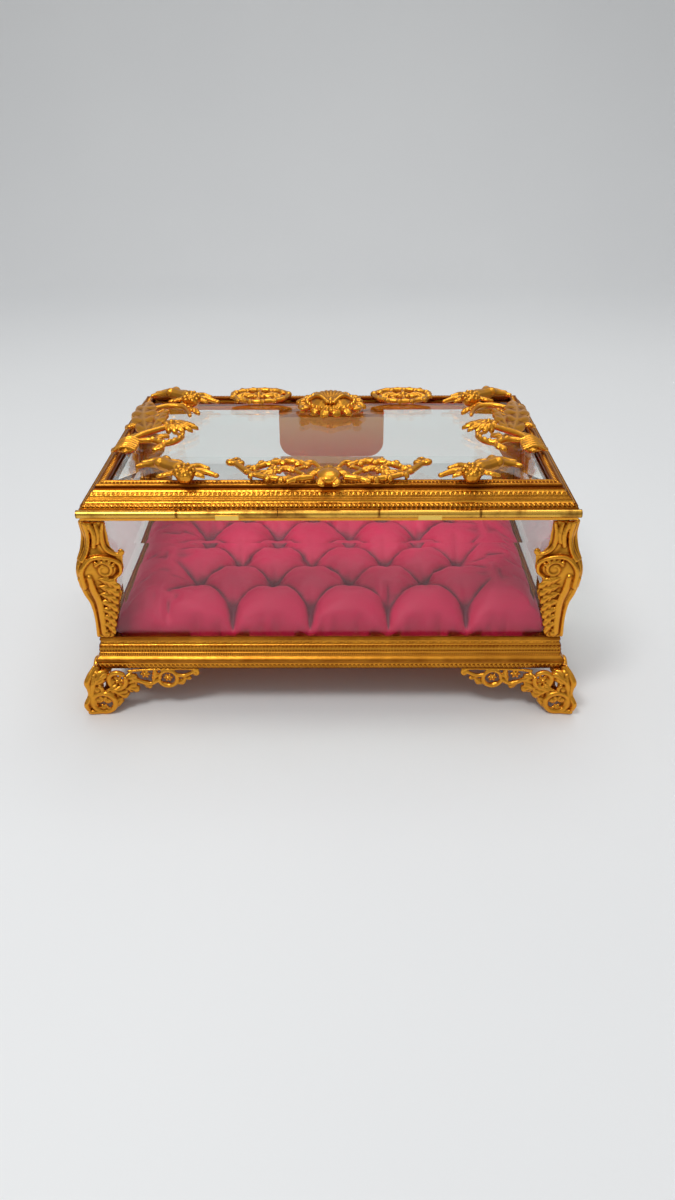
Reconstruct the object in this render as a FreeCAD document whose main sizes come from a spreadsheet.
import FreeCAD
import Part
import math
import os
import re

import Sketcher
from FreeCAD import Placement, Rotation, Vector

# Jewelry casket: a gilt-brass frame with bevelled panes, a hinged glass lid and a tufted cushion.
# Millimetres. The origin is the floor under the middle, +X is the long way, -Y is the hinge side.

DOC = FreeCAD.newDocument("jewelry_casket")
SHEET = DOC.addObject("Spreadsheet::Sheet", "Sheet")

DIMENSIONS = {
    # glass case
    "glass_width": 265.6,
    "glass_depth": 166.0,
    "pane_thickness": 4.0,
    "pane_height": 81.8,
    "pane_bevel_width": 16.5,
    "pane_bevel_depth": 1.8,
    "glass_gap": 0.2,
    # plinth
    "foot_height": 28.0,
    "plinth_height": 20.5,
    "plinth_skirt": 5.0,
    "plinth_skirt_wall": 2.0,
    "plinth_ledge_reach": 16.0,
    "plinth_ledge_thickness": 3.0,
    "plinth_inner_wall": 6.0,
    "plinth_torus_out": 4.7,
    "plinth_torus_height": 8.0,
    "plinth_torus_round": 2.4,
    "plinth_band_out": 2.6,
    "plinth_band_slope": 0.4,
    "plinth_lip_out": 1.4,
    "pane_seat_depth": 4.5,
    "pane_seat_lip": 1.5,
    "board_thickness": 4.0,
    "mitre_reach": 20.0,
    # rim over the panes
    "rim_wall": 1.0,
    "rim_web": 2.2,
    "rim_lip": 2.6,
    # lid frame
    "lid_seam": 0.4,
    "lid_rail_height": 10.4,
    "lid_skirt_height": 1.8,
    "lid_ogee_height": 3.4,
    "lid_ogee_in": 2.4,
    "lid_cove_in": 6.9,
    "lid_glass_inset": 8.5,
    "lid_seat_reach": 4.5,
    "lid_seat_thickness": 1.6,
    "lid_inner_wall": 5.4,
    "lid_glass_edge": 3.0,
    "lid_glass_rise": 2.2,
    "lid_bevel_width": 38.0,
    "bead_outer_in": 7.0,
    "bead_inner_in": 12.6,
    "bead_height": 3.2,
    "bead_flat": 2.2,
    # hinge
    "hinge_length": 270.0,
    "hinge_radius": 2.3,
    "hinge_clearance": 0.3,
    "knuckle_gap": 0.3,
    "leaf_thickness": 1.4,
    "leaf_height": 2.0,
    "pin_radius": 1.0,
    "pin_fit": 0.05,
    "tab_width": 12.5,
    "tab_out": 3.1,
    "tab_in": 1.5,
    "tab_below": 2.2,
    "tab_above": 0.5,
    # lock
    "lock_width": 72.0,
    "lock_height": 28.5,
    "lock_corner": 11.0,
    "lock_thickness": 5.2,
    "lock_plate_thickness": 1.2,
    "catch_width": 5.0,
    "catch_thickness": 1.4,
    "catch_inset": 0.7,
    "catch_depth": 10.5,
    "catch_clearance": 0.6,
    "catch_swing": 1.2,
    "catch_notch_above": 3.6,
    "catch_notch_height": 3.2,
    "catch_hook": 1.6,
    "bolt_length": 9.0,
    "bolt_height": 2.6,
    "bolt_clearance": 0.3,
    "bolt_setback": 1.4,
    "bolt_throw": 4.2,
    "keyhole_radius": 1.7,
    "keyhole_slot": 4.6,
    "escutcheon_width": 36.0,
    "escutcheon_height": 22.0,
    "escutcheon_thickness": 2.0,
    # corner mounts
    "mount_edge": 1.6,
    "mount_gap": 0.2,
    "mount_swell": 6.0,
    "mount_reach": 19.6,
    # feet
    "foot_flare": 14.1,
    "wing_length": 56.0,
    "wing_thickness": 3.2,
    "wing_setback": 0.5,
    "wing_start": 4.0,
    # cushion
    "cushion_gap": 0.8,
    "cushion_edge": 9.5,
    "cushion_crown": 27.0,
    "cushion_shoulder": 20.0,
    "tuft_pitch": 46.0,
    "tuft_row_pitch": 24.0,
    "tuft_shift_x": 11.5,
    "tuft_shift_y": 7.5,
    "tuft_depth": 11.0,
    # lid ornaments
    "stud_radius": 0.9,
    "ornament_clearance": 0.5,
    "ornament_sole": 0.4,
    "crest_margin": 79.0,
    "crest_clearance": 1.5,
    "front_spread": 14.0,
    "crest_tube": 1.9,
    "crest_boss": 8.6,
    "putto_from_end": 57.0,
    "putto_from_edge": 5.6,
    "putto_head": 5.0,
    "putto_body": 4.3,
    "putto_limb": 2.3,
    "cartouche_radius": 22.0,
    "cartouche_height": 9.5,
    "cartouche_from_edge": 36.0,
    "cartouche_lobes": 9.0,
    "scroll_tube": 2.1,
    "side_leaf_length": 40.0,
    "side_leaf_width": 17.0,
    "side_leaf_thickness": 2.6,
    "side_boss": 7.5,
}

# Levels and places that several pieces share, as expressions on the sheet.
PLINTH_TOP = "(foot_height + plinth_height)"
LEDGE_TOP = "(foot_height + plinth_skirt + plinth_ledge_thickness)"
BOARD_TOP = f"({LEDGE_TOP} + board_thickness)"
PANE_FOOT = f"({PLINTH_TOP} - pane_seat_depth)"
PANE_TOP = f"({PANE_FOOT} + pane_height)"
RIM_TOP = f"({PANE_TOP} + glass_gap + rim_web)"
RIM_FOOT = f"({PANE_TOP} + glass_gap - rim_lip)"
RIM_OUT = "(glass_gap + rim_wall)"
RIM_IN = "(pane_thickness + glass_gap + rim_wall + glass_gap)"
LID_FOOT = f"({RIM_TOP} + lid_seam)"
LID_TOP = f"({LID_FOOT} + lid_rail_height)"
GLASS_SEAT = f"({LID_TOP} - lid_glass_edge)"
BEAD_TOP = f"({LID_TOP} + bead_height)"
HINGE_Y = f"(glass_depth/2 + {RIM_OUT} + hinge_clearance + hinge_radius)"
HINGE_Z = f"({RIM_TOP} + lid_seam*3/4)"
KNUCKLE_PITCH = "(hinge_length/5)"
LOCK_FACE = "(glass_depth/2 - pane_thickness - glass_gap)"
LOCK_TOP = f"({RIM_FOOT} - glass_gap)"
LOCK_FOOT = f"({LOCK_TOP} - lock_height)"
CATCH_OUT = f"(glass_depth/2 - {RIM_IN} - catch_inset - glass_gap*2)"
CATCH_FOOT = f"({LOCK_TOP} - catch_depth)"
BOLT_FOOT = f"({CATCH_FOOT} + catch_notch_above + bolt_clearance)"
KEYHOLE_Z = f"({LOCK_FOOT} + escutcheon_height*3/4)"

SIDES = {
    "back": ("glass_depth/2", "glass_width/2", 180),
    "front": ("glass_depth/2", "glass_width/2", 0),
    "left": ("glass_width/2", "glass_depth/2", 90),
    "right": ("glass_width/2", "glass_depth/2", -90),
}
CORNERS = {"back_left": (-1, -1), "back_right": (1, -1), "front_left": (-1, 1), "front_right": (1, 1)}

PARTS = []


def fill_sheet():
    """Write every driving dimension into its own cell, beside its name."""
    for row, (alias, value) in enumerate(DIMENSIONS.items(), start=1):
        SHEET.set(f"A{row}", alias)
        SHEET.set(f"B{row}", str(value))
        SHEET.setAlias(f"B{row}", alias)
    DOC.recompute()


def bind(expression):
    """Turn the sheet's names in an expression into references to the sheet."""
    return re.sub(r"[a-z_]\w*", lambda name: f"Sheet.{name.group(0)}", expression)


def size(expression):
    """Work out an expression on the sheet, in millimetres."""
    return float(SHEET.evalExpression(bind(expression)))


def drive(thing, **expressions):
    """Bind properties of a document object to expressions on the sheet."""
    for name, expression in expressions.items():
        thing.setExpression(name, bind(expression))
    return thing


def drive_base(thing, x="0", y="0", z="0"):
    """Bind the place of a document object to expressions on the sheet."""
    for axis, expression in zip("xyz", (x, y, z)):
        thing.setExpression(f".Placement.Base.{axis}", bind(expression))
    return thing


def register(thing, label):
    """Name a finished sub-part and keep it for the export."""
    thing.Label = label
    PARTS.append(thing)
    return thing


def solid_part(label, shape, placement=None):
    """Make a sub-part from a shape that was worked out from the sheet."""
    feature = DOC.addObject("Part::Feature", label)
    feature.Shape = shape
    if placement is not None:
        feature.Placement = placement
    return register(feature, label)


def primitive(kind, name, **expressions):
    """Make a Part primitive whose sizes follow the sheet."""
    return drive(DOC.addObject(f"Part::{kind}", name), **expressions)


def boolean(kind, name, base, tool):
    """Cut or fuse two document objects."""
    result = DOC.addObject(f"Part::{kind}", name)
    result.Base = base
    result.Tool = tool
    return result


def block(name, x, y, z):
    """Make a box between pairs of expressions, one pair for each axis."""
    sides = zip(("Length", "Width", "Height"), (x, y, z))
    lengths = {key: f"({high}) - ({low})" for key, (low, high) in sides}
    return drive_base(primitive("Box", name, **lengths), x[0], y[0], z[0])


def origin_plane(body, role):
    """Find one of a body's own base planes."""
    return next(plane for plane in body.Origin.OriginFeatures if plane.Role == role)


def place_constraint(kind, index, expression):
    """Hold a line's start at a distance from the sketch's origin, on either side of it."""
    value = size(expression)
    if value < 0:
        return Sketcher.Constraint(kind, index, 1, -1, 1, -value), f"-({expression})"
    return Sketcher.Constraint(kind, -1, 1, index, 1, value), expression


def draw_loops(body, name, role, loops):
    """Draw closed outlines in a sketch, each corner held by expressions on the sheet."""
    sketch = body.newObject("Sketcher::SketchObject", name)
    sketch.AttachmentSupport = (origin_plane(body, role), [""])
    sketch.MapMode = "FlatFace"
    constraints = []
    expressions = {}
    first = 0
    for loop in loops:
        points = [Vector(size(across), size(up), 0) for across, up in loop]
        count = len(loop)
        for index, point in enumerate(points):
            sketch.addGeometry(Part.LineSegment(point, points[(index + 1) % count]), False)
        for index, corner in enumerate(loop):
            line = first + index
            following = first + (index + 1) % count
            constraints.append(Sketcher.Constraint("Coincident", line, 2, following, 1))
            for kind, expression in zip(("DistanceX", "DistanceY"), corner):
                constraint, bound = place_constraint(kind, line, expression)
                expressions[len(constraints)] = bound
                constraints.append(constraint)
        first += count
    sketch.addConstraint(constraints)
    for index, expression in expressions.items():
        sketch.setExpression(f"Constraints[{index}]", bind(expression))
    return sketch


def long_edges(shape, across, up):
    """Find the edges along X that pass at a distance across (Y) and up (Z)."""
    names = []
    for index, edge in enumerate(shape.Edges, start=1):
        box = edge.BoundBox
        at_line = abs(box.Center.y - across) < 0.01 and abs(box.Center.z - up) < 0.01
        if at_line and box.XLength > 1 and box.YLength < 0.01 and box.ZLength < 0.01:
            names.append(f"Edge{index}")
    return names


def mitred_rail(label, profile, side, rounds=()):
    """Make one straight moulding of a frame, mitred at both ends.

    The profile holds (out from the pane's outer face, height) pairs. The rail is drawn on the +Y
    side and turned to its own side.
    """
    across, along, turn = SIDES[side]
    body = DOC.addObject("PartDesign::Body", label)
    outline = [(f"{across} + ({out})", height) for out, height in profile]
    pad = body.newObject("PartDesign::Pad", f"{label}_length")
    pad.Profile = draw_loops(body, f"{label}_profile", "YZ_Plane", [outline])
    pad.SideType = "Symmetric"
    drive(pad, Length=f"2*({along}) + mitre_reach")
    DOC.recompute()
    for index, (out, height, radius) in enumerate(rounds):
        base = body.Tip
        fillet = body.newObject("PartDesign::Fillet", f"{label}_round{index}")
        fillet.Base = (base, long_edges(base.Shape, size(f"{across} + ({out})"), size(height)))
        drive(fillet, Radius=radius)
        DOC.recompute()
    near, far = f"{along} - mitre_reach", f"{along} + mitre_reach"
    low, high = f"{across} - mitre_reach", f"{across} + mitre_reach"
    right = [(near, low), (far, high), (far, low)]
    left = [(f"-({x})", y) for x, y in right]
    mitre = body.newObject("PartDesign::Pocket", f"{label}_mitre")
    mitre.Profile = draw_loops(body, f"{label}_mitre_plan", "XY_Plane", [right, left])
    mitre.Type = "ThroughAll"
    mitre.Reversed = True
    body.Placement = Placement(Vector(), Rotation(Vector(0, 0, 1), turn))
    return register(body, label)


def plinth_profile():
    """Outline of the plinth: skirt, torus, ornamented band, lip and pane seat."""
    torus_top = "foot_height + plinth_torus_height"
    seat_inner = "-(pane_thickness + glass_gap)"
    return [
        ("-plinth_ledge_reach", "foot_height + plinth_skirt"),
        ("-plinth_skirt_wall", "foot_height + plinth_skirt"),
        ("-plinth_skirt_wall", "foot_height"),
        ("plinth_torus_out", "foot_height"),
        ("plinth_torus_out", torus_top),
        ("plinth_band_out", torus_top),
        ("plinth_band_out - plinth_band_slope", PANE_FOOT),
        ("plinth_lip_out", PANE_FOOT),
        ("plinth_lip_out", PLINTH_TOP),
        ("glass_gap", PLINTH_TOP),
        ("glass_gap", PANE_FOOT),
        (seat_inner, PANE_FOOT),
        (seat_inner, f"{PANE_FOOT} + pane_seat_lip"),
        ("-plinth_inner_wall", f"{PANE_FOOT} + pane_seat_lip"),
        ("-plinth_inner_wall", LEDGE_TOP),
        ("-plinth_ledge_reach", LEDGE_TOP),
    ]


def rim_profile():
    """Outline of the rim: an upturned channel over the top edge of a pane."""
    slot_inner = "-(pane_thickness + glass_gap)"
    slot_top = f"{PANE_TOP} + glass_gap"
    return [
        ("glass_gap", RIM_FOOT),
        (RIM_OUT, RIM_FOOT),
        (RIM_OUT, RIM_TOP),
        (f"-{RIM_IN}", RIM_TOP),
        (f"-{RIM_IN}", RIM_FOOT),
        (slot_inner, RIM_FOOT),
        (slot_inner, slot_top),
        ("glass_gap", slot_top),
    ]


def lid_profile():
    """Outline of the lid moulding: skirt, ogee, cove, glass seat and sloping inner face."""
    skirt_top = f"{LID_FOOT} + lid_skirt_height"
    ogee_top = f"{skirt_top} + lid_ogee_height"
    seat_end = "-(lid_glass_inset + lid_seat_reach)"
    return [
        (RIM_OUT, LID_FOOT),
        (RIM_OUT, skirt_top),
        (f"{RIM_OUT} - lid_ogee_in/4", f"{skirt_top} + lid_ogee_height*2/3"),
        ("-lid_ogee_in", ogee_top),
        ("-lid_cove_in + lid_ogee_in/2", f"{LID_TOP} - lid_ogee_in/4"),
        ("-lid_cove_in", LID_TOP),
        ("-lid_glass_inset + glass_gap", LID_TOP),
        ("-lid_glass_inset + glass_gap", GLASS_SEAT),
        (seat_end, GLASS_SEAT),
        (seat_end, f"{GLASS_SEAT} - lid_seat_thickness"),
        ("-lid_inner_wall", f"{LID_FOOT} + 1"),
        ("-lid_inner_wall", LID_FOOT),
    ]


def bead_profile():
    """Outline of the bead strip that holds the lid glass down."""
    flat_outer = "-bead_inner_in + bead_flat + glass_gap*2"
    return [
        ("-bead_outer_in", LID_TOP),
        ("-bead_outer_in", f"{LID_TOP} + bead_height/2"),
        (f"{flat_outer} + bead_flat/3", f"{BEAD_TOP} - bead_height/5"),
        (flat_outer, BEAD_TOP),
        ("-bead_inner_in + glass_gap*2", BEAD_TOP),
        ("-bead_inner_in", f"{BEAD_TOP} - bead_height/4"),
        ("-bead_inner_in", f"{LID_TOP} + lid_glass_rise*bead_inner_in/lid_bevel_width/2"),
        ("-lid_glass_inset", LID_TOP),
    ]


def frames():
    """Make the four mitred frames, four rails each."""
    torus_top = "foot_height + plinth_torus_height"
    torus_rounds = (
        ("plinth_torus_out", "foot_height", "plinth_torus_round"),
        ("plinth_torus_out", torus_top, "plinth_torus_round/2"),
    )
    for side in SIDES:
        mitred_rail(f"plinth_rail_{side}", plinth_profile(), side, torus_rounds)
        mitred_rail(f"rim_rail_{side}", rim_profile(), side)
        mitred_rail(f"lid_rail_{side}", lid_profile(), side)
        mitred_rail(f"lid_bead_{side}", bead_profile(), side)


def bottom_board():
    """Make the wooden board that rests on the plinth's ledge."""
    half_x = "glass_width/2 - plinth_inner_wall - glass_gap"
    half_y = "glass_depth/2 - plinth_inner_wall - glass_gap"
    board = block("board", (f"-({half_x})", half_x), (f"-({half_y})", half_y), (LEDGE_TOP, BOARD_TOP))
    register(board, "bottom_board")


def bevelled_glass(name, width, height, edge, rise, bevel):
    """Make a sheet of glass that faces +Y, standing on its edge, with a bevel all round its face."""
    sheet = block(f"{name}_sheet", (f"-({width})/2", f"({width})/2"), ("0", edge), ("0", height))
    face = primitive(
        "Wedge",
        f"{name}_bevel",
        Xmin=f"-({width})/2",
        Xmax=f"({width})/2",
        X2min=f"-({width})/2 + {bevel}",
        X2max=f"({width})/2 - {bevel}",
        Ymin=edge,
        Ymax=f"{edge} + {rise}",
        Zmin="0",
        Zmax=height,
        Z2min=bevel,
        Z2max=f"{height} - {bevel}",
    )
    return boolean("Fuse", f"{name}_glass", sheet, face)


def panes():
    """Make the four standing panes; the front one is bored for the key."""
    edge = "pane_thickness - pane_bevel_depth"
    for side, (across, along, turn) in SIDES.items():
        lapped = side in ("left", "right")
        width = f"2*({along})" + (" - 2*(pane_thickness + glass_gap)" if lapped else "")
        bevel = ("pane_bevel_depth", "pane_bevel_width")
        glass = bevelled_glass(f"pane_{side}", width, "pane_height", edge, *bevel)
        if side == "front":
            bore = primitive("Cylinder", "key_bore", Radius="keyhole_radius*2", Height="pane_thickness*3")
            bore.Placement.Rotation = Rotation(Vector(1, 0, 0), -90)
            drive_base(bore, y="-pane_thickness", z=f"{KEYHOLE_Z} - {PANE_FOOT}")
            glass = boolean("Cut", "pane_front_bored", glass, bore)
        outward = Rotation(Vector(0, 0, 1), turn).multVec(Vector(0, 1, 0))
        glass.Placement.Rotation = Rotation(Vector(0, 0, 1), turn)
        inner = f"({across} - pane_thickness)"
        drive_base(glass, f"{round(outward.x)}*{inner}", f"{round(outward.y)}*{inner}", PANE_FOOT)
        register(glass, f"pane_{side}")


def lid_glass():
    """Make the lid's thick glass with its very wide bevel."""
    width = "glass_width - 2*lid_glass_inset"
    depth = "glass_depth - 2*lid_glass_inset"
    glass = bevelled_glass("lid", width, depth, "lid_glass_edge", "lid_glass_rise", "lid_bevel_width")
    glass.Placement.Rotation = Rotation(Vector(1, 0, 0), 90)
    drive_base(glass, y=f"({depth})/2", z=GLASS_SEAT)
    register(glass, "lid_glass")


def tube_along_x(name, radius, start, length):
    """Make a round bar on the hinge axis."""
    bar = primitive("Cylinder", name, Radius=radius, Height=length)
    bar.Placement.Rotation = Rotation(Vector(0, 1, 0), 90)
    return drive_base(bar, start, f"-{HINGE_Y}", HINGE_Z)


def knuckle(label, place, leaf_low, leaf_high):
    """Make one barrel of the hinge with the leaf that is soldered to its frame."""
    start = f"(-hinge_length/2 + {place}*{KNUCKLE_PITCH} + knuckle_gap/2)"
    length = f"({KNUCKLE_PITCH} - knuckle_gap)"
    face = f"-(glass_depth/2 + {RIM_OUT})"
    barrel = tube_along_x(f"{label}_barrel", "hinge_radius", start, length)
    leaf = block(
        f"{label}_leaf",
        (start, f"{start} + {length}"),
        (f"{face} - leaf_thickness", face),
        (leaf_low, leaf_high),
    )
    bore = tube_along_x(f"{label}_bore", "pin_radius + pin_fit", start, length)
    body = boolean("Fuse", f"{label}_body", barrel, leaf)
    register(boolean("Cut", label, body, bore), label)


def stop_tabs():
    """Make the two tabs on the lid's barrels that meet the rim and stop the lid."""
    tabs = []
    for name, place in (("left", 1.5), ("right", 3.5)):
        middle = f"(-hinge_length/2 + {place}*{KNUCKLE_PITCH})"
        plate = block(
            f"tab_{name}_plate",
            (f"{middle} - tab_width/2", f"{middle} + tab_width/2"),
            (f"-{HINGE_Y} - tab_out", f"-{HINGE_Y} - tab_in"),
            (f"{HINGE_Z} - tab_below", f"{HINGE_Z} + tab_above"),
        )
        saddle = tube_along_x(f"tab_{name}_saddle", "hinge_radius", f"{middle} - tab_width", "tab_width*2")
        tabs.append(boolean("Cut", f"tab_{name}", plate, saddle))
    register(boolean("Fuse", "stop_tabs", *tabs), "stop_tabs")


def hinge():
    """Make the five barrels, the pin through them and the stop tabs."""
    base_leaf = (f"{RIM_TOP} - leaf_height", RIM_TOP)
    lid_leaf = (f"{LID_FOOT}", f"{LID_FOOT} + lid_skirt_height")
    for place, name in enumerate(("left", "", "centre", "", "right")):
        if name:
            knuckle(f"hinge_knuckle_{name}", place, *base_leaf)
    knuckle("lid_knuckle_left", 1, *lid_leaf)
    knuckle("lid_knuckle_right", 3, *lid_leaf)
    register(tube_along_x("pin", "pin_radius", "-hinge_length/2", "hinge_length"), "hinge_pin")
    stop_tabs()


def shield(label, thickness, middle):
    """Make an upright plate with rounded lower corners behind the front pane."""
    body = DOC.addObject("PartDesign::Body", label)
    half = "lock_width/2"
    outline = [(f"-{half}", LOCK_FOOT), (half, LOCK_FOOT), (half, LOCK_TOP), (f"-{half}", LOCK_TOP)]
    pad = body.newObject("PartDesign::Pad", f"{label}_thickness")
    pad.Profile = draw_loops(body, f"{label}_outline", "XZ_Plane", [outline])
    pad.SideType = "Symmetric"
    drive(pad, Length=thickness)
    DOC.recompute()
    corners = []
    for index, edge in enumerate(pad.Shape.Edges, start=1):
        box = edge.BoundBox
        if box.YLength > 0.5 and abs(box.Center.z - size(LOCK_FOOT)) < 0.01:
            corners.append(f"Edge{index}")
    fillet = body.newObject("PartDesign::Fillet", f"{label}_corners")
    fillet.Base = (pad, corners)
    drive(fillet, Radius="lock_corner")
    return drive_base(body, y=middle)


def lock():
    """Make the lock: case, cover plate, sliding bolt and the lid's hooked catch."""
    case_out = LOCK_FACE
    case_in = f"({LOCK_FACE} - lock_thickness)"
    catch_in = f"({CATCH_OUT} - catch_thickness)"
    slot_x = "(catch_width/2 + catch_clearance)"
    bolt_start = f"(-{slot_x} - bolt_setback - bolt_length)"
    case = shield("lock_case_shield", "lock_thickness", f"{case_out} - lock_thickness/2")
    slot = block(
        "catch_slot",
        (f"-{slot_x}", slot_x),
        (f"{catch_in} - catch_clearance", f"{CATCH_OUT} + catch_swing"),
        (f"{CATCH_FOOT} - catch_clearance", f"{LOCK_TOP} + lock_height"),
    )
    channel = block(
        "bolt_channel",
        (f"{bolt_start} - bolt_clearance", f"{bolt_start} + bolt_length + bolt_throw + bolt_clearance"),
        (f"{catch_in} - bolt_clearance", f"{CATCH_OUT} + bolt_clearance"),
        (f"{BOLT_FOOT} - bolt_clearance", f"{BOLT_FOOT} + bolt_height + bolt_clearance"),
    )
    hollow = boolean("Fuse", "lock_hollow", slot, channel)
    register(boolean("Cut", "lock_case_cut", case, hollow), "lock_case")
    register(
        shield("lock_plate_shield", "lock_plate_thickness", f"{case_in} - lock_plate_thickness/2"),
        "lock_plate",
    )
    bolt = block(
        "bolt",
        (bolt_start, f"{bolt_start} + bolt_length"),
        (catch_in, CATCH_OUT),
        (BOLT_FOOT, f"{BOLT_FOOT} + bolt_height"),
    )
    register(bolt, "lock_bolt")
    register(lid_catch(catch_in), "lid_catch")


def lid_catch(catch_in):
    """Make the hooked plate under the lid's front rail; its top meets the rail's sloping inner face."""
    body = DOC.addObject("PartDesign::Body", "lid_catch_plate")
    rise = f"({GLASS_SEAT} - lid_seat_thickness - {LID_FOOT} - 1)"
    slope = f"({rise}/(lid_glass_inset + lid_seat_reach - lid_inner_wall))"
    seat = f"{LID_FOOT} + 1 + {slope}*(glass_depth/2 - lid_inner_wall - (%s))"
    outline = [
        (catch_in, CATCH_FOOT),
        (CATCH_OUT, CATCH_FOOT),
        (CATCH_OUT, seat % CATCH_OUT),
        (catch_in, seat % catch_in),
    ]
    pad = body.newObject("PartDesign::Pad", "lid_catch_width")
    pad.Profile = draw_loops(body, "lid_catch_side", "YZ_Plane", [outline])
    pad.SideType = "Symmetric"
    drive(pad, Length="catch_width")
    notch = block(
        "catch_notch",
        ("-catch_width", "catch_width/2 - catch_hook"),
        (f"{catch_in} - 1", f"{CATCH_OUT} + 1"),
        (f"{CATCH_FOOT} + catch_notch_above", f"{CATCH_FOOT} + catch_notch_above + catch_notch_height"),
    )
    return boolean("Cut", "lid_catch_hook", body, notch)


def escutcheon():
    """Make the keyhole plate on the outside of the front pane: four curved lobes round a keyhole."""
    half_x = size("escutcheon_width/2")
    half_z = size("escutcheon_height/2")
    face = size("glass_depth/2")
    centre = size(KEYHOLE_Z)
    thickness = size("escutcheon_thickness")
    waist = 0.62
    lobes = []
    turns = [(1, 0), (0, 1), (-1, 0), (0, -1)]
    for index, (across, up) in enumerate(turns):
        following = turns[(index + 1) % 4]
        start = Vector(across * half_x, 0, up * half_z)
        end = Vector(following[0] * half_x, 0, following[1] * half_z)
        middle = Vector((start.x + end.x) * waist, 0, (start.z + end.z) * waist)
        lobes.append(Part.Arc(start, middle, end).toShape())
    plate = Part.Face(Part.Wire(lobes)).extrude(Vector(0, thickness, 0))
    radius = size("keyhole_radius")
    slot = size("keyhole_slot")
    eye = Part.makeCylinder(radius, thickness * 3, Vector(0, -thickness, 0), Vector(0, 1, 0))
    stem = Part.makeBox(radius, thickness * 3, slot, Vector(-radius / 2, -thickness, -slot))
    plate = plate.cut(eye.fuse(stem))
    solid_part("escutcheon", plate, Placement(Vector(0, face, centre), Rotation()))


# Corner mounts, from foot to top: shares of the height, of the corner's swell and of the wings' reach.
MOUNT_STATIONS = (
    (0.00, 0.20, 0.36),
    (0.04, 0.20, 0.43),
    (0.13, 0.20, 0.34),
    (0.15, 0.22, 0.51),
    (0.23, 0.30, 0.56),
    (0.29, 0.40, 0.43),
    (0.34, 0.48, 0.67),
    (0.47, 0.83, 0.60),
    (0.52, 0.93, 0.49),
    (0.55, 1.00, 0.62),
    (0.61, 1.00, 0.82),
    (0.67, 0.90, 0.80),
    (0.72, 0.65, 1.00),
    (0.75, 0.48, 0.72),
    (0.86, 0.35, 0.60),
    (1.00, 0.43, 0.55),
)


def closed_wire(points):
    """Join points into a closed wire of straight lines."""
    return Part.makePolygon(points + points[:1])


def loft(wires):
    """Make a solid with ruled faces through closed wires."""
    return Part.makeLoft(wires, True, True)


def corner_mount_shape():
    """Make the mount of the corner where both glass faces look towards -X and -Y."""
    corner = Vector(size("-glass_width/2"), size("-glass_depth/2"), size(PLINTH_TOP))
    height = size(f"{RIM_FOOT} - glass_gap - {PLINTH_TOP}")
    gap = size("mount_gap")
    edge = gap + size("mount_edge")
    swell = size("mount_swell")
    length = size("mount_reach")
    wires = []
    for share, out_share, reach_share in MOUNT_STATIONS:
        out = out_share * swell
        reach = reach_share * length
        plan = ((-out, -out), (reach, -edge), (reach, -gap), (-gap, -gap), (-gap, reach), (-edge, reach))
        lift = Vector(0, 0, share * height)
        wires.append(closed_wire([corner + lift + Vector(x, y, 0) for x, y in plan]))
    return loft(wires)


# Feet: a share of the height, then outward flare, reach along the wings and thickness as shares of the flare.
FOOT_STATIONS = (
    (0.00, 0.64, -0.14, 0.46),
    (0.06, 0.79, 0.11, 0.53),
    (0.27, 1.00, 0.38, 0.57),
    (0.50, 0.91, 0.78, 0.46),
    (0.70, 0.78, 1.21, 0.43),
    (0.86, 0.77, 1.42, 0.53),
    (1.00, 0.84, 1.42, 0.74),
)
# Lower edge of a bracket wing: (share of the wing's length, share of the foot's height).
WING_EDGE = (
    (0.13, 0.29),
    (0.20, 0.46),
    (0.30, 0.62),
    (0.38, 0.55),
    (0.47, 0.65),
    (0.60, 0.61),
    (0.72, 0.76),
    (0.82, 0.89),
    (0.95, 0.84),
    (1.00, 0.97),
)
# Holes pierced through a wing: (share of the length, share of the height, radius as a share of the height).
WING_HOLES = ((0.24, 0.80, 0.086), (0.43, 0.83, 0.079), (0.62, 0.82, 0.093), (0.75, 0.89, 0.046))


def wing_shape(height):
    """Make one bracket wing along X, with its holes, from the corner of the glass."""
    length = size("wing_length")
    out = size("plinth_torus_out - wing_setback")
    thickness = size("wing_thickness")
    start = size("wing_start")
    lower = [(start, 0.27 * height)] + [(along * length, up * height) for along, up in WING_EDGE]
    edge = [(start, height)] + lower + [(length, height)]
    plate = Part.Face(closed_wire([Vector(x, -out, z) for x, z in edge])).extrude(Vector(0, thickness, 0))
    for along, up, radius in WING_HOLES:
        centre = Vector(along * length, -out - thickness, up * height)
        plate = plate.cut(Part.makeCylinder(radius * height, thickness * 3, centre, Vector(0, 1, 0)))
    return plate


def foot_shape():
    """Make the foot of the corner that looks towards -X and -Y: a flared block and two wings."""
    height = size("foot_height")
    flare = size("foot_flare")
    wires = []
    for share, out_share, reach_share, thickness_share in FOOT_STATIONS:
        out = out_share * flare
        reach = reach_share * flare
        inner = thickness_share * flare - out
        plan = ((-out, -out), (reach, -out), (reach, inner), (inner, inner), (inner, reach), (-out, reach))
        wires.append(closed_wire([Vector(x, y, share * height) for x, y in plan]))
    wing = wing_shape(height)
    other = wing.mirror(Vector(0, 0, 0), Vector(1, -1, 0))
    foot = loft(wires).multiFuse([wing, other])
    foot.translate(Vector(size("-glass_width/2"), size("-glass_depth/2"), 0))
    return foot


def on_corners(prefix, shape):
    """Repeat a corner piece on all four corners, mirrored where it has to be."""
    for name, (side_x, side_y) in CORNERS.items():
        copy = shape.copy()
        if side_x > 0:
            copy = copy.mirror(Vector(0, 0, 0), Vector(1, 0, 0))
        if side_y > 0:
            copy = copy.mirror(Vector(0, 0, 0), Vector(0, 1, 0))
        solid_part(f"{prefix}_{name}", copy)


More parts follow.
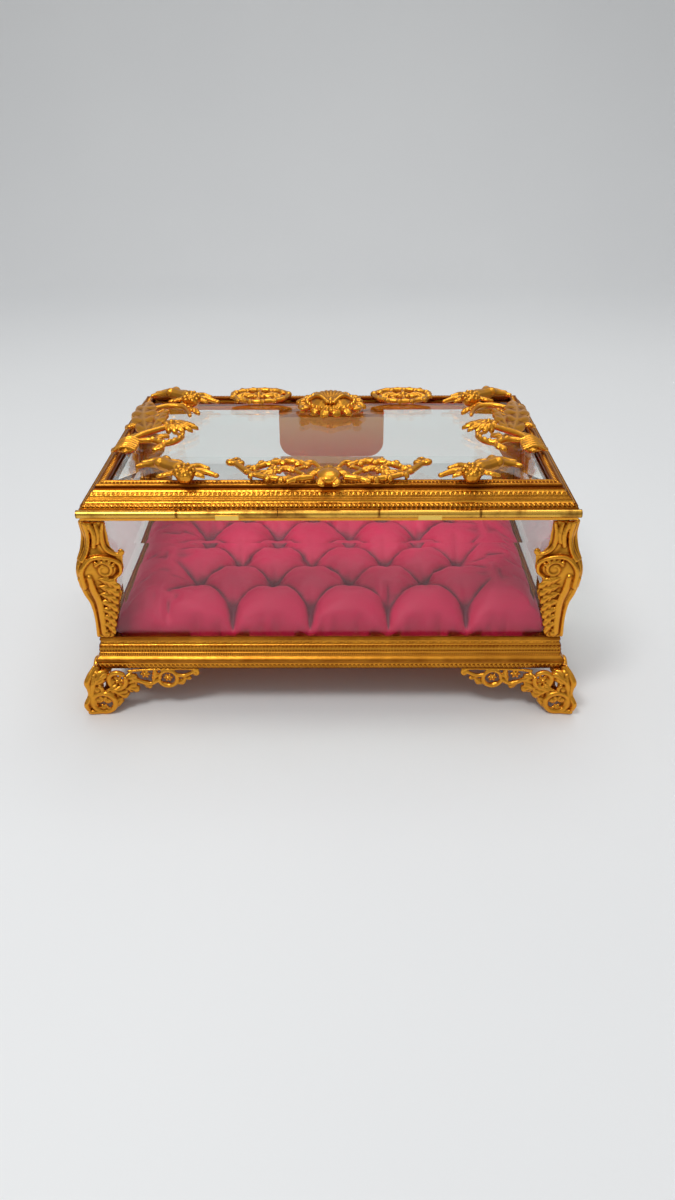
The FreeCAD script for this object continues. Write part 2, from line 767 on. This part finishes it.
def puff(x, y):
    """Height share of the tufted top: 0 in a pit, 1 on a crown, in between along the pleats."""
    along = (x - size("tuft_shift_x")) / size("tuft_pitch/2")
    across = (y - size("tuft_shift_y")) / size("tuft_row_pitch")
    first = abs(math.sin(math.pi * (along + across) / 2))
    second = abs(math.sin(math.pi * (along - across) / 2))
    pleat = 0.45
    return pleat * max(first, second) ** 0.7 + (1 - pleat) * math.sqrt(first * second)


def cushion_height(x, y, half_x, half_y):
    """Height of the cushion's top over the board: drawn in at the sides, crowned and tufted."""
    edge = size("cushion_edge")
    crown = size("cushion_crown")
    depth = size("tuft_depth")
    inset = min(half_x - abs(x), half_y - abs(y)) / size("cushion_shoulder")
    swell = math.sin(min(1.0, max(0.0, inset)) * math.pi / 2)
    return edge + swell * (crown - edge - depth * (1 - puff(x, y)))


def grid_lines(half, shift, pitch):
    """Places of the section lines between two sides, at a pitch from the tufts' own shift."""
    first = math.ceil((-half + pitch / 2 - shift) / pitch)
    last = math.floor((half - pitch / 2 - shift) / pitch)
    return [-half] + [shift + index * pitch for index in range(first, last + 1)] + [half]


def cushion_section(y, lines, half_x, half_y, foot, gap):
    """Draw one section of the cushion: arcs over the puffs, drawn-in sides and a flat underside."""
    edges = []

    def top(x):
        return Vector(x, y, foot + cushion_height(x, y, half_x, half_y))

    for left, right in zip(lines, lines[1:]):
        middle = top((left + right) / 2)
        chord = (top(left) + top(right)) * 0.5
        if (middle - chord).Length > 0.05:
            edges.append(Part.Arc(top(left), middle, top(right)).toShape())
        else:
            edges.append(Part.makeLine(top(left), top(right)))
    right_foot = Vector(half_x - gap, y, foot)
    left_foot = Vector(-half_x + gap, y, foot)
    edges.append(Part.makeLine(top(half_x), right_foot))
    edges.append(Part.makeLine(right_foot, left_foot))
    edges.append(Part.makeLine(left_foot, top(-half_x)))
    return Part.Wire(edges)


def tufted_cushion():
    """Make the cushion as a ruled loft through its sections, one per tuft row and one between."""
    inner = size("plinth_inner_wall + cushion_gap")
    half_x = size("glass_width/2") - inner
    half_y = size("glass_depth/2") - inner
    foot = size(BOARD_TOP)
    lines = grid_lines(half_x, size("tuft_shift_x"), size("tuft_pitch/4"))
    rows = grid_lines(half_y, size("tuft_shift_y"), size("tuft_row_pitch/2"))
    gap = size("cushion_gap")
    solid_part("tufted_cushion", loft([cushion_section(y, lines, half_x, half_y, foot, gap) for y in rows]))


def turned(start_radius, end_radius, length):
    """Turn a bar with round ends about the Z axis, from the origin up."""
    bend = math.sqrt(0.5)
    foot, top = Vector(0, 0, -start_radius), Vector(0, 0, length + end_radius)
    side, shoulder = Vector(start_radius, 0, 0), Vector(end_radius, 0, length)
    profile = [Part.Arc(foot, Vector(start_radius * bend, 0, -start_radius * bend), side).toShape()]
    if length > 0:
        profile.append(Part.makeLine(side, shoulder))
    crown = Vector(end_radius * bend, 0, length + end_radius * bend)
    profile.append(Part.Arc(shoulder, crown, top).toShape())
    profile.append(Part.makeLine(top, foot))
    return Part.Face(Part.Wire(profile)).revolve(Vector(0, 0, 0), Vector(0, 0, 1), 360)


def ball(point, radius):
    """Make a ball of two halves."""
    shape = turned(radius, radius, 0)
    shape.Placement = Placement(Vector(*point), Rotation())
    return shape


def limb(start, start_radius, end, end_radius):
    """Make a tapered limb with round ends between two points."""
    base = Vector(*start)
    axis = Vector(*end) - base
    shape = turned(start_radius, end_radius, axis.Length)
    shape.Placement = Placement(base, Rotation(Vector(0, 0, 1), axis))
    return shape


def scroll(start, middle, end, radius):
    """Make a round scroll along an arc, with a knob at its far end."""
    arc = Part.Arc(Vector(*start), Vector(*middle), Vector(*end))
    spine = Part.Wire(arc.toShape())
    foot = arc.value(arc.FirstParameter)
    profile = Part.Wire(Part.makeCircle(radius, foot, arc.tangent(arc.FirstParameter)[0]))
    return spine.makePipeShell([profile], True, False).fuse(ball(end, radius * 1.35))


def dome(point, radius, height):
    """Make a round boss: the cap of a ball, with its flat side down."""
    sphere = (radius * radius + height * height) / (2 * height)
    cap = Part.makeSphere(sphere, Vector(point[0], point[1], point[2] + height - sphere))
    corner = Vector(point[0] - radius * 2, point[1] - radius * 2, point[2])
    keep = Part.makeBox(radius * 4, radius * 4, height * 2, corner)
    return cap.common(keep)


def stud(along, across, top):
    """Make a stud that stands on the flat of a bead strip."""
    return Part.makeCylinder(size("stud_radius"), top, Vector(along, across, 0))


def leaf(start, end, width, low, thickness):
    """Make a flat pointed leaf between two points, its outline two arcs."""
    base = Vector(start[0], start[1], low)
    tip = Vector(end[0], end[1], low)
    middle = (base + tip) * 0.5
    side = (tip - base).cross(Vector(0, 0, 1)).normalize() * (width / 2)
    near = Part.Arc(base, middle + side, tip).toShape()
    far = Part.Arc(tip, middle - side, base).toShape()
    return Part.Face(Part.Wire([near, far])).extrude(Vector(0, 0, thickness))


def casting(label, pieces, mirrors=()):
    """Fuse a casting that was laid out on the bead strips' top, and set it on the lid."""
    shape = pieces[0].multiFuse(pieces[1:])
    for normal in mirrors:
        shape = shape.mirror(Vector(0, 0, 0), Vector(*normal))
    shape.translate(Vector(0, 0, size(BEAD_TOP)))
    return solid_part(label, shape)


def bead_line(half):
    """Distance from the middle to the middle of a bead strip's flat."""
    return size(f"{half} - bead_inner_in + glass_gap*2 + bead_flat/2")


def back_crest():
    """Make the crest over the hinge: a leaf boss between two pairs of scrolls and ribbon knots."""
    tube = size("crest_tube")
    low = size("ornament_clearance") + tube
    reach = size("glass_width/2 - crest_margin")
    boss = size("crest_boss")
    line = -bead_line("glass_depth/2")
    sole = size("ornament_clearance + ornament_sole")
    pieces = [dome((0, line, sole), boss, boss * 0.8), stud(0, line, low)]
    pieces.append(leaf((0, line - boss * 0.6), (0, line + boss * 2.4), boss * 1.5, sole + 0.5, tube * 1.6))
    for side in (-1, 1):
        inner, outer = side * boss * 0.7, side * reach
        middle = side * reach * 0.5
        near = (middle, line - boss * 0.41, low)
        far = (middle, line + boss * 1.86, low)
        pieces.append(scroll((inner, line, low), near, (outer, line + boss * 0.23, low), tube))
        knot = (outer * 0.96, line + boss * 0.58, low)
        pieces.append(scroll((inner, line + boss * 0.47, low), far, knot, tube))
        pieces.append(dome((middle, line + boss * 0.76, sole), boss * 0.53, boss * 0.49))
        heel = (middle, line - boss * 0.35, low)
        pieces.append(limb(heel, tube * 0.7, (middle, line + boss * 1.74, low), tube * 0.6))
        pieces.append(stud(side * reach * 0.78, line, low))
    casting("back_crest", pieces)


def putto_pieces(front):
    """Lay out a left putto: lying along its rail, head to the hinge side, arms to the middle."""
    head = size("putto_head")
    body = size("putto_body")
    arm = size("putto_limb")
    low = size("ornament_clearance")
    x = -size("glass_width/2 - putto_from_end")
    y = -size("glass_depth/2 - putto_from_edge")
    line = -bead_line("glass_depth/2")
    heel = x - head
    if front:
        x -= size("front_spread")
        y = -line - head * 5
        line = -line
        heel = x - head * 5.6
    knob = size("scroll_tube*1.35")
    reach = size("crest_margin - putto_from_end - putto_limb*0.7 - crest_clearance") - knob
    chest = (x - head * 0.6, y + head * 1.3, low + body)
    hips = (x - head * 2.8, y + head * 2.7, low + body)
    knee = (x - head * 4.6, y + head * 3.2, low + arm * 1.2)
    other_knee = (x - head * 4.2, y + head * 4.1, low + arm * 1.2)
    elbow = (x + reach * 0.62, y + head * 1.8, low + arm)
    return [
        ball((x, y, low + head * 1.08), head),
        limb(chest, body * 0.86, hips, body),
        ball(chest, body * 0.9),
        limb(hips, body * 0.8, knee, arm),
        limb(knee, arm * 0.95, (x - head * 6.2, y + head * 3.9, low + arm), arm * 0.7),
        limb(hips, body * 0.74, other_knee, arm * 0.96),
        limb(other_knee, arm * 0.9, (x - head * 5.6, y + head * 5, low + arm), arm * 0.66),
        limb(chest, arm, elbow, arm * 0.85),
        limb(elbow, arm * 0.8, (x + reach, y + head * 2.1, low + arm), arm * 0.7),
        limb(chest, arm * 0.93, (x + reach * 0.56, y + head * 0.3, low + arm), arm * 0.8),
        limb(chest, arm * 0.86, (x - head * 2.4, y + head * 0.2, low + body * 1.6), arm * 0.4),
        stud(heel, line, low + arm),
    ]


def putti():
    """Make the four putti, the right ones mirrored from the left."""
    for end in ("back", "front"):
        pieces = putto_pieces(end == "front")
        casting(f"putto_{end}_left", pieces)
        casting(f"putto_{end}_right", pieces, ((1, 0, 0),))


def front_cartouche():
    """Make the shell cartouche over the lock: a dome with a lobed edge on two scroll legs."""
    radius = size("cartouche_radius")
    height = size("cartouche_height")
    low = size("ornament_clearance")
    tube = size("scroll_tube")
    middle = size("glass_depth/2 - cartouche_from_edge")
    line = bead_line("glass_depth/2")
    lobes = int(size("cartouche_lobes"))
    pieces = [dome((0, middle, size("ornament_clearance + ornament_sole")), radius, height)]
    for index in range(lobes):
        turn = math.pi * (index + 0.5) / lobes
        place = (math.cos(turn) * radius * 0.94, middle + math.sin(turn) * radius * 0.94, low + tube * 1.2)
        pieces.append(ball(place, tube * 1.2))
    for side in (-1, 1):
        start = (side * radius * 0.7, middle, low + tube)
        bend = (side * radius * 1.05, middle - radius * 0.5, low + tube)
        pieces.append(scroll(start, bend, (side * radius * 0.8, middle - radius * 0.95, low + tube), tube))
        pieces.append(stud(side * radius * 0.45, line, low + tube))
        heel = (side * radius * 0.45, line, low + tube)
        pieces.append(limb(heel, tube * 0.8, (side * radius * 0.4, middle, low + tube), tube * 0.7))
    casting("front_cartouche", pieces)


def front_scrolls():
    """Make the two scrolls beside the cartouche."""
    tube = size("scroll_tube")
    low = size("ornament_clearance") + tube * 1.5
    start = -size("cartouche_radius") - tube * 2.9
    end = -size("glass_width/2 - crest_margin + front_spread")
    line = bead_line("glass_depth/2")
    middle = (start + end) / 2
    deep = (middle, line - tube * 11, low)
    pieces = [
        ball((start, line - tube * 0.5, low), tube * 1.3),
        scroll((start, line, low), (middle, line + tube * 1.4, low), (end, line - tube * 0.7, low), tube),
        scroll((start, line - tube, low), deep, (end, line - tube * 3, low), tube * 0.9),
        limb((middle, line + tube, low), tube * 0.7, (middle, line - tube * 10.6, low), tube * 0.6),
        dome((middle, line - tube * 5, size("ornament_clearance + ornament_sole")), tube * 3, tube * 2.1),
        stud(middle, line, low),
    ]
    casting("front_scroll_left", pieces)
    casting("front_scroll_right", pieces, ((1, 0, 0),))


def side_crests():
    """Make the leaf castings of the two ends: a broad leaf, a block, and a flower spray on stems."""
    low = size("ornament_clearance")
    length = size("side_leaf_length")
    boss = size("side_boss")
    tube = size("scroll_tube")
    level = low + tube
    line = -bead_line("glass_width/2")
    middle = line + boss * 1.6
    sole = size("ornament_clearance + ornament_sole")
    tip = (line + boss * 0.53, length * 1.3)
    block_x = line + boss * 0.6
    block_y = -length * 0.75
    spray_x = middle + boss * 1.6
    spray_y = boss * 0.4
    spray = (spray_x, spray_y, level)
    bend = (spray_x, block_y + boss * 0.4, level)
    curl = (spray_x + boss * 1.2, block_y + boss * 2.2, level)
    pieces = [
        dome((middle, 0, sole), boss, boss * 0.7),
        leaf((middle, -boss), tip, size("side_leaf_width"), sole + 0.5, size("side_leaf_thickness")),
        dome((block_x, block_y, sole), boss * 1.1, boss * 0.8),
        dome((spray_x, spray_y, sole), boss, boss * 0.8),
        limb((block_x, block_y, level), tube, spray, tube * 0.9),
        limb((middle, 0, level), tube * 0.95, spray, tube * 0.85),
        limb(spray, tube * 1.2, (spray_x + boss * 2.4, spray_y + boss * 0.4, level), tube * 0.8),
        limb(spray, tube * 0.96, (middle + boss * 2, length, level), tube * 0.8),
        scroll((block_x + boss * 0.5, block_y + boss * 0.6, level), bend, curl, tube * 0.9),
    ]
    for side in (-1, 1):
        heel = (line, side * length * 0.3, level)
        pieces.append(limb(heel, tube * 0.8, (middle, side * boss * 0.2, level), tube * 0.7))
        pieces.append(stud(line, side * length * 0.3, level))
    casting("side_crest_left", pieces)
    casting("side_crest_right", pieces, ((1, 0, 0),))


def check():
    """Stop if any object of the document failed or any sub-part is no sound solid."""
    for thing in DOC.Objects:
        if "Invalid" in thing.State or "Error" in thing.State:
            raise RuntimeError(f"{thing.Name} is {thing.State}")
    for part in PARTS:
        if part.Shape.isNull() or not part.Shape.isValid() or not part.Shape.Solids:
            raise RuntimeError(f"{part.Label} is not a sound solid")


def export():
    """Write every sub-part as a STEP file."""
    os.makedirs("parts", exist_ok=True)
    for part in PARTS:
        part.Shape.exportStep(f"parts/{part.Label}.step")


def main():
    """Build, check and export the casket."""
    fill_sheet()
    frames()
    bottom_board()
    panes()
    lid_glass()
    hinge()
    lock()
    escutcheon()
    on_corners("corner_mount", corner_mount_shape())
    on_corners("foot", foot_shape())
    tufted_cushion()
    back_crest()
    putti()
    front_cartouche()
    front_scrolls()
    side_crests()
    DOC.recompute()
    check()
    export()


main()
